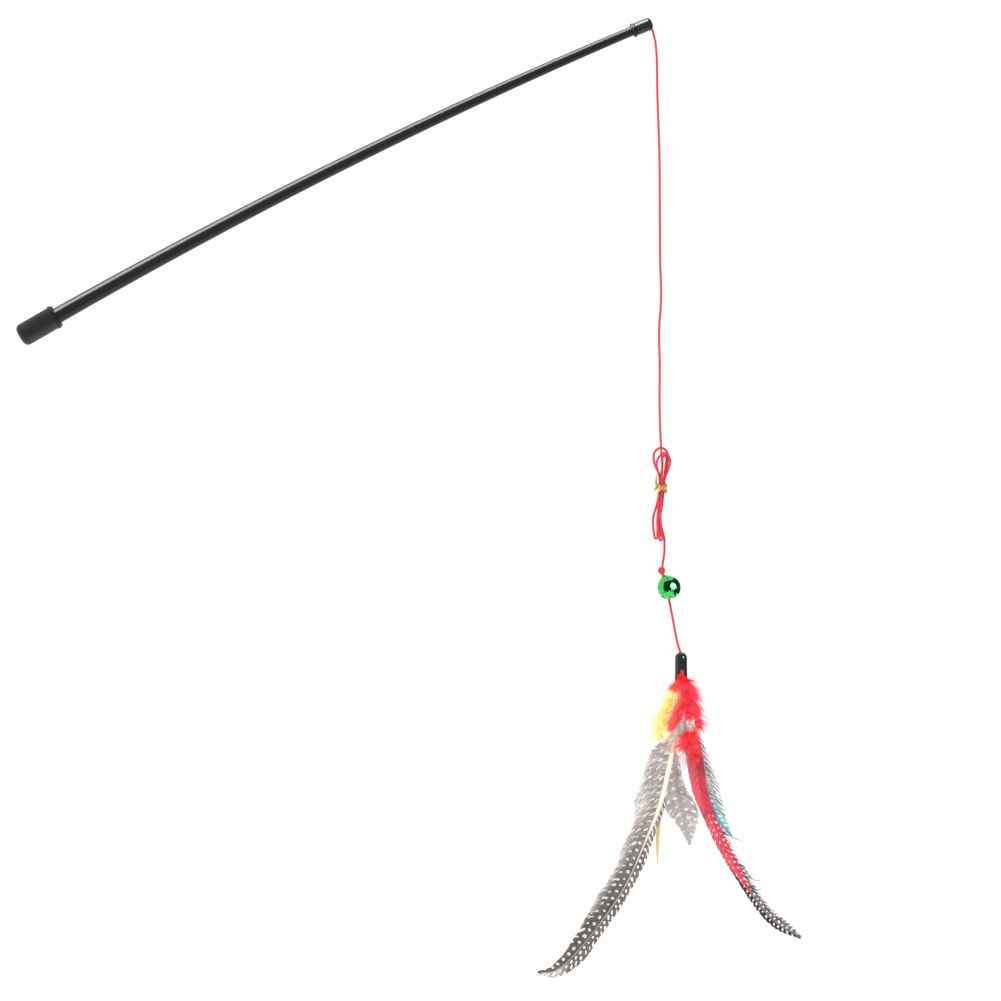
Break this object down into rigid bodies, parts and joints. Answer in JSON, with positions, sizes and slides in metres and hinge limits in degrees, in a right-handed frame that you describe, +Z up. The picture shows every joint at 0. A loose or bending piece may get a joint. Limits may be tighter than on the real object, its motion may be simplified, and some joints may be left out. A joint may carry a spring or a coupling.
{
  "type": "feather cat wand",
  "caption": "Cat teaser: a drooping tapered rod with an elastic cord that carries a spare hank, a jingle bell and a lure of dyed and spotted feathers.",
  "frame": {"origin": "on the rod's axis, in the middle of the hand's grip", "axes": "+Z up, +X from the grip towards the rod's tip and level, +Y away from the viewer of the picture"},
  "size_m": [0.335, 0.0264, 0.4057],
  "materials": {
    "rod_gloss": "glossy black varnish",
    "cap_gloss": "glossy black",
    "black_rubber": "matt black",
    "red_cord": "woven elastic, crimson",
    "gold_foil": "gold foil over wire",
    "green_metal": "bright metallic green",
    "steel": "plain",
    "glue": "set hot glue",
    "guinea_grey": "brown-grey feather with white dots",
    "pale_grey": "light grey feather",
    "red_dye": "dyed red feather",
    "teal_dye": "dyed teal feather",
    "yellow_dye": "dyed yellow marabou",
    "amber_quill": "translucent amber quill"
  },
  "bodies": {
    "wand": {"rod": "rod_gloss", "butt_cap": "black_rubber", "tip_cap": "cap_gloss", "tip_ring": "black_rubber", "tip_stop_knot": "red_cord", "cord_exit": "red_cord"},
    "cord_top_body": {"cord_top": "red_cord"},
    "line": {"cord_upper": "red_cord", "cord_hank": "red_cord", "hank_tie": "gold_foil", "cord_middle": "red_cord", "bell_knot": "red_cord"},
    "bell": {"bell_bail": "green_metal", "bell_top_shell": "green_metal", "bell_bottom_shell": "green_metal"},
    "pellet": {"bell_pellet": "steel"},
    "lure_drop": {"cord_lower": "red_cord", "lure_stop_knot": "red_cord"},
    "lure": {"lure_cap": "cap_gloss", "lure_plug": "glue", "guinea_feather_left": "guinea_grey", "guinea_feather_short": "pale_grey", "guinea_feather_right": "guinea_grey", "red_feather": "red_dye", "teal_feather": "teal_dye", "grey_down_feather": "pale_grey", "bare_quill": "amber_quill", "red_marabou_left": "red_dye", "red_marabou_front": "red_dye", "red_marabou_right": "red_dye", "red_marabou_lower": "red_dye", "yellow_marabou": "yellow_dye"}
  },
  "joints": [
    {"name": "line_swing", "type": "hinge", "parent": "wand", "child": "cord_top_body", "pos_m": [0.2376, 0, 0.1109], "axis": [0, -1, 0], "range_deg": [-40, 100]},
    {"name": "line_sway", "type": "hinge", "parent": "cord_top_body", "child": "line", "pos_m": [0.2385, 0, 0.1066], "axis": [1, 0, 0], "range_deg": [-80, 80]},
    {"name": "bell_swing", "type": "hinge", "parent": "line", "child": "bell", "pos_m": [0.24185, -0.002, -0.11946], "axis": [0, -1, 0], "range_deg": [-65, 45]},
    {"name": "pellet_rattle", "type": "slide", "parent": "bell", "child": "pellet", "axis": [0, 0, 1], "range_m": [0, 0.0045]},
    {"name": "lure_swing", "type": "hinge", "parent": "line", "child": "lure_drop", "pos_m": [0.24145, 0.00091, -0.11968], "axis": [0, -1, 0], "range_deg": [-45, 45]},
    {"name": "lure_spin", "type": "hinge", "parent": "lure_drop", "child": "lure", "pos_m": [0.2493, 0, -0.1522], "axis": [0, 0, 1], "continuous": true}
  ]
}
